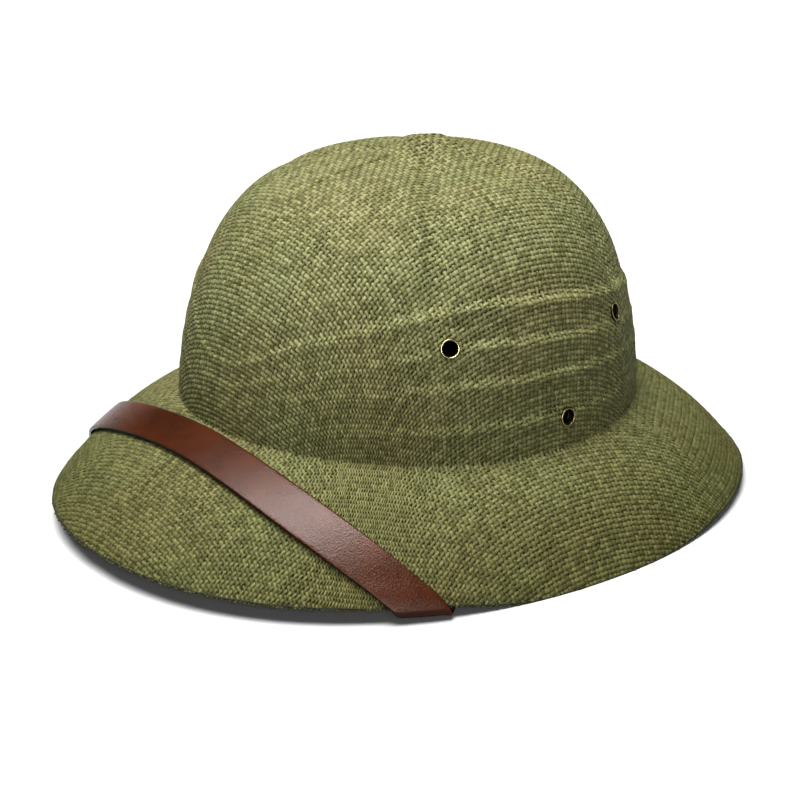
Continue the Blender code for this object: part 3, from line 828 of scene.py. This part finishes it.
# %% Yarns of both directions
for axis, (label, names) in enumerate((
        ("side to side", ("yarns_across_front", "yarns_across_rear")),
        ("front to back", ("yarns_along_left", "yarns_along_right")))):
    points, faces, shades, places, painted_brim_shade = yarn_mesh_data(axis, YARN_SEED + axis)
    points, faces = cut_vents(points, faces)
    centre = points[faces].mean(1)
    first_half = centre[:, 1] < 0 if axis == 0 else centre[:, 0] > 0
    for name, chosen in zip(names, (first_half, ~first_half)):
        values = {"shade": shades, "across": places, "painted_brim_shade": painted_brim_shade}
        band = build_mesh(name, points, faces[chosen], values, straw)
        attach(band, "root")
        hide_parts("straw_shell")
    print("yarns that run", label)

# %% [markdown]
# ## The wall behind the yarns
# Seen through the holes of the weave, and from inside, the hat still needs a wall. It is one
# closed skin: an outer face just under the yarns, an inner face at the real thickness, and a
# rolled edge that rises to the yarns' height and hides their ends, as a pressed edge does.

# %% Rows of the skin
SKIN_TURNS = 240
SKIN_STEP = 0.0022
SKIN_DEPTH = 0.0010
RIM_STEPS = 6
RIM_RISE = 0.0002          # the pressed edge stands as high as the yarns
RIM_BULGE = 0.0004         # and is rounded by this much
RIM_SHADE = 0.85           # painted shade: the pressed edge is painted nearly as dark as the wall behind the yarns


def skin_ring(reach, depth):
    """One ring of the skin at a walk from the apex and a depth under the face."""
    turn = np.arange(SKIN_TURNS) * 2 * math.pi / SKIN_TURNS
    plane = np.stack([np.sin(turn), -np.cos(turn)], -1) * reach
    return surface(plane, crown_point) - surface_normal(plane) * depth, plane


full_reach = CROWN_REACH + BRIM_REACH
skin_end = full_reach - 3 * RIM_BULGE
reaches = np.linspace(SKIN_STEP, skin_end, int(full_reach / SKIN_STEP))
rings = [skin_ring(reach, SKIN_DEPTH) + (1.0,) for reach in reaches]
rings.append(skin_ring(full_reach - 2 * RIM_BULGE, RIM_RISE) + (RIM_SHADE,))
for i in range(RIM_STEPS + 1):
    angle = math.pi * (i / RIM_STEPS - 0.5)
    depth = (WALL - RIM_RISE) / 2 + (WALL + RIM_RISE) / 2 * math.sin(angle)
    reach = full_reach - RIM_BULGE * (1 - math.cos(angle))
    rings.append(skin_ring(reach, depth) + (RIM_SHADE,))
for reach in reaches[::-1]:
    rings.append(skin_ring(reach, WALL) + (0.0,))
print("rings of the skin:", len(rings))

# %% [markdown]
# ## The weave seen from inside
# The inner face needs the same pattern as the outside. Each of its points looks up the
# nearest crossing of the net and steps from there along the two yarn directions, which gives
# it a row and a column of its own. The material turns them into bump and colour.

# %% Row and column of the skin's points
SMALLEST_MESH = 1e-9       # square metres between neighbours; below it one is missing

tree = kdtree.KDTree(int(on_hat.sum()))
crossings = np.argwhere(on_hat)
for n, (i, j) in enumerate(crossings):
    tree.insert((*net[i, j], 0), n)
tree.balance()
skin_plane = np.concatenate([ring[1] for ring in rings])
nearest = np.array([tree.find((*spot, 0))[1] for spot in skin_plane])
i, j = crossings[nearest].T
step_i = np.nan_to_num((net[np.minimum(i + 1, len(net) - 1), j] - net[i - 1, j]) / 2)
step_j = np.nan_to_num((net[i, np.minimum(j + 1, len(net[0]) - 1)] - net[i, j - 1]) / 2)
size = step_i[:, 0] * step_j[:, 1] - step_i[:, 1] * step_j[:, 0]
size = np.where(np.abs(size) < SMALLEST_MESH, np.inf, size)
offset = skin_plane - net[i, j]
skin_row = i + (offset[:, 0] * step_j[:, 1] - offset[:, 1] * step_j[:, 0]) / size
skin_column = j + (step_i[:, 0] * offset[:, 1] - step_i[:, 1] * offset[:, 0]) / size
print("looked up", len(skin_plane), "points of the skin")

# %% Build the skin
# each quad starts from its last corner here, which picks the diagonal it is split along
skin_faces = [np.roll(band_faces(len(rings), SKIN_TURNS), 1, axis=1)]
skin_points = np.concatenate([ring[0] for ring in rings])
tips = np.array([skin_points[:SKIN_TURNS].mean(0), skin_points[-SKIN_TURNS:].mean(0)])
skin_points = np.concatenate([skin_points, tips])
top, bottom = len(skin_points) - 2, len(skin_points) - 1
last = (len(rings) - 1) * SKIN_TURNS
for a in range(0, SKIN_TURNS, 2):
    b, c = a + 1, (a + 2) % SKIN_TURNS
    skin_faces.append([(top, a, b, c), (bottom, last + c, last + b, last + a)])
# share of painted shade for each point: full on the outer face, nearly full on the rolled edge,
# none on the inner face
painted_gap_shade = np.concatenate([np.full(SKIN_TURNS, ring[2]) for ring in rings] + [[1.0, 0.0]])
skin_points, kept = cut_vents(skin_points, np.concatenate(skin_faces))
skin = build_mesh("straw_wall", skin_points, kept, {
    "painted_gap_shade": painted_gap_shade,
    "row": np.append(skin_row, [skin_row[0], skin_row[-1]]),
    "column": np.append(skin_column, [skin_column[0], skin_column[-1]]),
}, backing)
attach(skin, "root")
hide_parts("straw_shell")

# %% [markdown]
# ## The way of the chin strap
# The strap is one flat band. It lies over the front of the brim, turns round the edge at both
# sides, runs under the brim and climbs the inner wall to the low vents. Its face next to the
# hat is found as in the model, but for a grid with many more lines and sections, so that it
# bends smoothly. Only the left half is worked out, and the right half is its mirror image.

# %% Sizes of the strap
STRAP_WIDTH = 0.0200
STRAP_LEATHER = 0.0018
STRAP_SWEEP = 0.0437
STRAP_SWEEP_POWER = 3.2
STRAP_LIFT = 0.0012
STRAP_TAIL = 0.0095
STRAP_CLIMB = math.radians(38)
GAP = 0.0003
SEAT = 0.0005
STRAP_SEAT = 0.0011        # clear of the pleats that stand out on the inner wall
STRAP_STEPS = {"over": 90, "rim": 14, "under": 30, "wall": 44}
HALVINGS = 30
EDGE_HALVINGS = 20

# %% Places on the brim
def largest(top, fits, halvings=HALVINGS):
    """Largest values between 0 and top that pass a test, found by halving the interval."""
    low, high = np.zeros_like(top), top
    for _ in range(halvings):
        middle = (low + high) / 2
        good = fits(middle)
        low, high = np.where(good, middle, low), np.where(good, high, middle)
    return low


def brim_under(x, y):
    """Turn and share of the brim points above plan points in the front left quarter."""
    def not_there_yet(turn):
        foot, edge = crease_point(turn), edge_point(turn)
        return ((edge[..., 0] - foot[..., 0]) * (y - foot[..., 1])
                > (edge[..., 1] - foot[..., 1]) * (x - foot[..., 0]))

    turn = largest(np.full_like(x, np.pi / 2), not_there_yet)
    foot, edge = crease_point(turn), edge_point(turn)
    reach = np.hypot(edge[..., 0] - foot[..., 0], edge[..., 1] - foot[..., 1])
    return turn, np.hypot(x - foot[..., 0], y - foot[..., 1]) / reach


def brim_frame(turn, share):
    """Points on the brim, their upward normals and the directions down the slope."""
    down = unit(brim_point(turn, share + STEP) - brim_point(turn, share - STEP))
    along = unit(brim_point(turn + STEP, share) - brim_point(turn - STEP, share))
    normal = unit(np.cross(down, along))
    return brim_point(turn, share), normal, -unit(np.cross(normal, along))


def upper_edge_plan(share):
    """Plan points of the strap's upper edge, from the front (0) to beyond the brim (1)."""
    start = crease_point(np.array(0.0))[1] - STRAP_LEATHER - 2 * GAP
    return share * BRIM_WIDTH / 2, start + STRAP_SWEEP * share ** STRAP_SWEEP_POWER


def strap_plan(share, across):
    """Plan points of the strap; across runs from its upper edge (0) to its lower edge (1)."""
    x, y = upper_edge_plan(share)
    next_x, next_y = upper_edge_plan(share + STEP)
    length = np.hypot(next_x - x, next_y - y)
    along_x, along_y = (next_x - x) / length, (next_y - y) / length
    start = brim_point(*brim_under(x, y))

    def within_strap(width):
        there = brim_point(*brim_under(x + along_y * width, y - along_x * width))
        return np.linalg.norm(there - start, axis=-1) < STRAP_WIDTH * across

    width = largest(np.full_like(x, STRAP_WIDTH), within_strap)
    return x + along_y * width, y - along_x * width

# %% The strap over the brim and round its edge
STRAP_COLUMNS = np.concatenate([[0.0, 0.012, 0.035], np.linspace(0.07, 0.93, 19),
                                [0.965, 0.988, 1.0]])


def on_brim(share):
    return brim_under(*strap_plan(share, STRAP_COLUMNS))[1] < 1


ones = np.ones_like(STRAP_COLUMNS)
edge_share = largest(ones, on_brim, EDGE_HALVINGS)
progress = np.linspace(0, 1, STRAP_STEPS["over"] + 1)[:, None]
turn, share = brim_under(*strap_plan(edge_share * progress, STRAP_COLUMNS + 0 * progress))
point, normal, _ = brim_frame(turn, share)
stand_off = SEAT + (STRAP_LIFT - SEAT) * STRAP_COLUMNS ** 2 * (1 - progress ** 4)
over = point + normal * stand_off[..., None]

edge = brim_point(turn[-1], ones)
down = np.linalg.norm(edge - brim_point(turn[-1], share[-2]), axis=-1)
along = np.linalg.norm(edge - brim_point(turn[-2], ones), axis=-1)
radius = WALL / 2 + SEAT
drift = along / down * np.pi * radius / np.linalg.norm(edge_point(turn[-1]), axis=-1)
progress = np.linspace(0, 1, STRAP_STEPS["rim"] + 1)[1:, None]
bend = np.pi * (0.5 - progress)[..., None]
edge, normal, downhill = brim_frame(turn[-1] + drift * progress, 1 + 0 * progress)
round_rim = edge - normal * WALL / 2 + (downhill * np.cos(bend) + normal * np.sin(bend)) * radius
print("strap reaches the edge at a turn of %.1f degrees" % math.degrees(turn[-1].mean()))

# %% The strap under the brim and up the inner wall
_, low_vent_turn, low_vent_level, _ = EYELETS[-1]


def wall_inside(along, up):
    """Points of the strap's face on the inner wall, measured from under the low vent."""
    turn = math.radians(low_vent_turn) + along / (CROWN_LENGTH / 2)
    level = np.maximum(up, 0) / RISE
    wall = crown_normal(turn, level)
    depth = WALL + STRAP_SEAT
    climbing = plain_crown_point(turn, level) - wall * depth
    _, brim, _ = brim_frame(turn, STEP + 0 * turn)
    bisector = unit(wall + brim)
    foot = crease_point(turn) - bisector * depth / (bisector * wall).sum(-1, keepdims=True)
    return np.where((up > 0)[..., None], climbing, foot)


height = low_vent_level * RISE
aside = STRAP_WIDTH * (0.5 - STRAP_COLUMNS)
crossing = -height / math.tan(STRAP_CLIMB) + aside / math.sin(STRAP_CLIMB)
length = height / math.sin(STRAP_CLIMB) + STRAP_TAIL - aside / math.tan(STRAP_CLIMB)
reach = length * np.linspace(0, 1, STRAP_STEPS["wall"] + 1)[:, None]
up_wall = wall_inside(crossing + reach * math.cos(STRAP_CLIMB), reach * math.sin(STRAP_CLIMB))
progress = np.linspace(0, 1, STRAP_STEPS["under"] + 1)[1:-1, None, None]
under = round_rim[-1] + (up_wall[0] - round_rim[-1]) * progress
over[0, :, 0] = 0
half_strap = np.concatenate([over, round_rim, under, up_wall])
strap_face = np.concatenate([half_strap[:0:-1] * (-1, 1, 1), half_strap])
middle_line = strap_face[:, len(STRAP_COLUMNS) // 2]
walked = np.linalg.norm(np.diff(middle_line, axis=0), axis=1).sum()
print("strap %.1f mm long" % (walked * 1000))

# %% [markdown]
# ## The leather of the strap
# It is vegetable-tanned leather, cut, dyed red-brown and glazed, with painted black edges. A
# cut band has square edges that are eased by burnishing, so the section is a flat one with
# small rounded corners. The fine grain is a Voronoi pattern for the pebbles with noise on
# top, in the bump and a little in the colour and the gloss.

# %% Leather
LEATHER_PEBBLE = 0.0008    # grain of cowhide, at the coarse end so that it shows
LEATHER_CLOUD = 0.02
PORES_A_PEBBLE = 2.2
PEBBLE_WEIGHT = 0.6        # how much the pebbles count beside the pores
GRAIN_WEIGHT = 0.5         # and the grain beside the clouds of the dye
TINT_LIMITS = (0.55, 1.15)     # the sum that gives the darkest dye, and the lightest
GRAIN_LIMITS = (0.4, 1.1)      # the grain that gives the first gloss below, and the second
LEATHER_ROUGHNESS = (0.10, 0.22)

leather, leather_shader = new_material("vegetable tanned leather, dyed and glazed")
position = add_node(leather, PLACES, "Object")
pebbles = add_node(leather, "ShaderNodeTexVoronoi", "Distance", {"feature": "SMOOTH_F1"},
                   Vector=position, Scale=1 / LEATHER_PEBBLE, Smoothness=0.6)
pores = add_node(leather, NOISE, "Fac", Vector=position, Scale=PORES_A_PEBBLE / LEATHER_PEBBLE,
                 Detail=3.0)
clouds = add_node(leather, NOISE, "Fac", Vector=position, Scale=1 / LEATHER_CLOUD, Detail=4.0)
grain = add_node(leather, MATH, 0, TIMES_ADD, _0=pebbles, _1=PEBBLE_WEIGHT, _2=pores)
tint = add_node(leather, MATH, 0, TIMES_ADD, _0=grain, _1=GRAIN_WEIGHT, _2=clouds)
tint = add_node(leather, RANGE, _0=tint, _1=TINT_LIMITS[0], _2=TINT_LIMITS[1])
face_colour = add_node(leather, MIX, 2, COLOURS, _0=tint,
                       _6=linear("#211007"), _7=linear("#34190A"))
paint = add_node(leather, ATTRIBUTE, "Fac", {"attribute_name": "edge"})
leather_colour = add_node(leather, MIX, 2, COLOURS, _0=paint, _6=face_colour,
                          _7=linear("#060403"))
gloss = add_node(leather, RANGE, _0=grain, _1=GRAIN_LIMITS[0], _2=GRAIN_LIMITS[1],
                 _3=LEATHER_ROUGHNESS[0], _4=LEATHER_ROUGHNESS[1])
relief = add_node(leather, BUMP, Height=grain, Strength=0.5, Distance=0.0003)
fill_sockets(leather, leather_shader, Base_Color=leather_colour, Roughness=gloss,
             Normal=relief, IOR=1.5, Specular_IOR_Level=0.14)
print("strap material", leather.name)

# %% The strap's band
STRAP_SECTION = (
    # column, height as a share of the leather, painted edge
    (1, 0.00, 1.0), (0, 0.10, 1.0), (0, 0.66, 1.0), (1, 0.90, 0.2), (2, 0.97, 0.0),
)
STRAP_END = 4              # sections over which an end closes

sections, columns = strap_face.shape[:2]
last = columns - 1
ring = list(STRAP_SECTION)
ring += [(column, 1.0, 0.0) for column in range(3, last - 2)]
ring += [(last - column, height, edge) for column, height, edge in STRAP_SECTION[::-1]]
ring += [(column, 0.0, 0.0) for column in range(last - 2, 1, -1)]
column, height, edge = (np.array(values) for values in zip(*ring))
lengthwise = np.gradient(strap_face, axis=0)
crosswise = np.gradient(strap_face, axis=1)
outward = unit(np.cross(crosswise, lengthwise))
outward = outward * np.sign(outward[sections // 2, columns // 2, 2])
closing = np.minimum(np.arange(sections), np.arange(sections)[::-1]) / STRAP_END
closing = np.sqrt(1 - (1 - np.clip(closing, 0, 1)) ** 2)[:, None]
thickness = STRAP_LEATHER * (0.5 + (height - 0.5) * closing)
strap_points = strap_face[:, column] + outward[:, column] * thickness[..., None]
strap_faces = band_faces(sections, len(ring))[:, [0, 3, 2, 1]]     # turned to face outwards
strap_points, strap_faces = cut_vents(strap_points.reshape(-1, 3), strap_faces)
painted = np.maximum(np.tile(edge, sections), np.repeat(1 - closing[:, 0], len(ring)))
strap = build_mesh("strap_band", strap_points, strap_faces, {"edge": painted}, leather)
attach(strap, "root")
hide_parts("chin_strap")

# %% [markdown]
# ## Brass eyelets
# An eyelet is stamped from brass sheet: a rolled rim outside, a funnel that leads into the
# barrel, and a second rim that is spread on the inside when it is set. Antique brass is
# dipped dark and then rubbed, so the crest of the roll is bright and the funnel nearly black.
# Its section is turned about the vent's direction, with enough points to show as a wire edge.

# %% Antique brass
TARNISH_SPOT = 0.0012
TARNISH_CONTRAST = 0.7     # how much the spots lighten or darken the rubbed metal
BRASS_ROUGHNESS = (0.5, 0.26)      # where it is dark, and where it is rubbed bright

brass, brass_shader = new_material("brass, stamped and darkened")
position = add_node(brass, PLACES, "Object")
rubbed = add_node(brass, ATTRIBUTE, "Fac", {"attribute_name": "rubbed"})
spots = add_node(brass, NOISE, "Fac", Vector=position, Scale=1 / TARNISH_SPOT, Detail=4.0)
spots = add_node(brass, MATH, 0, TIMES_ADD, _0=spots, _1=TARNISH_CONTRAST,
                 _2=-TARNISH_CONTRAST / 2)
bright = add_node(brass, MATH, 0, {"operation": "ADD", "use_clamp": True}, _0=spots, _1=rubbed)
brass_colour = add_node(brass, MIX, 2, COLOURS, _0=bright,
                        _6=linear("#1E1A10"), _7=linear("#968C6A"))
polish = add_node(brass, RANGE, _0=bright, _3=BRASS_ROUGHNESS[0], _4=BRASS_ROUGHNESS[1])
fill_sockets(brass, brass_shader, Base_Color=brass_colour, Roughness=polish, Metallic=1.0)
print("vent material", brass.name)

# %% Turn the eyelets
EYELET_TURNS = 48
ROLL_RADIUS = 0.00042      # of the rolled wire edge
ROLL_HEIGHT = 0.0003       # its middle, above the gap
ROLL_POINTS = 12

flange, bore = EYELET_FLANGE / 2, EYELET_BORE / 2
EYELET_SECTION = (
    # radius, share of the way through to the inside, height from there, how rubbed
    (bore + 0.00012, 0, GAP + 0.0001, 0.1), (bore, 0, -0.0003, 0.0),
    (bore, 0.4, 0, 0.0), (bore, 0.8, 0, 0.0), (bore, 1, -0.0004, 0.0),
    (bore + 0.0002, 1, -0.00068, 0.3), (flange - 0.0003, 1, -0.0005, 0.6),
    (flange, 1, -0.0002, 0.6), (flange - 0.0002, 1, 0, 0.2),
    (bore + EYELET_METAL, 1, 0, 0.0), (bore + EYELET_METAL, 0, GAP, 0.0),
)
roll = [(flange - ROLL_RADIUS + ROLL_RADIUS * math.cos(a),
         GAP + ROLL_HEIGHT + ROLL_RADIUS * math.sin(a), max(0.0, math.sin(a)) ** 2)
        for a in np.linspace(-math.pi / 2, math.pi, ROLL_POINTS)]
turns = np.arange(EYELET_TURNS) * 2 * math.pi / EYELET_TURNS
eyelet_faces = band_faces(EYELET_TURNS, len(roll) + len(EYELET_SECTION), closed=True)
for name, seat, out, holds_strap in vents:
    inside = WALL + SEAT + (STRAP_SEAT + STRAP_LEATHER if holds_strap else 0)
    profile = np.array(roll + [(radius, height - inside * share, shine)
                               for radius, share, height, shine in EYELET_SECTION])
    turned = Vector(out).to_track_quat("Z", "Y").to_matrix()
    right, ahead = np.array(turned.col[0]), np.array(turned.col[1])
    spokes = np.cos(turns)[:, None] * right + np.sin(turns)[:, None] * ahead
    points = seat + spokes[:, None] * profile[None, :, :1] + out * profile[None, :, 1:2]
    ring = build_mesh(name + "_brass", points.reshape(-1, 3), eyelet_faces,
                      {"rubbed": np.tile(profile[:, 2], EYELET_TURNS)}, brass)
    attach(ring, "root")
    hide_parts(name)
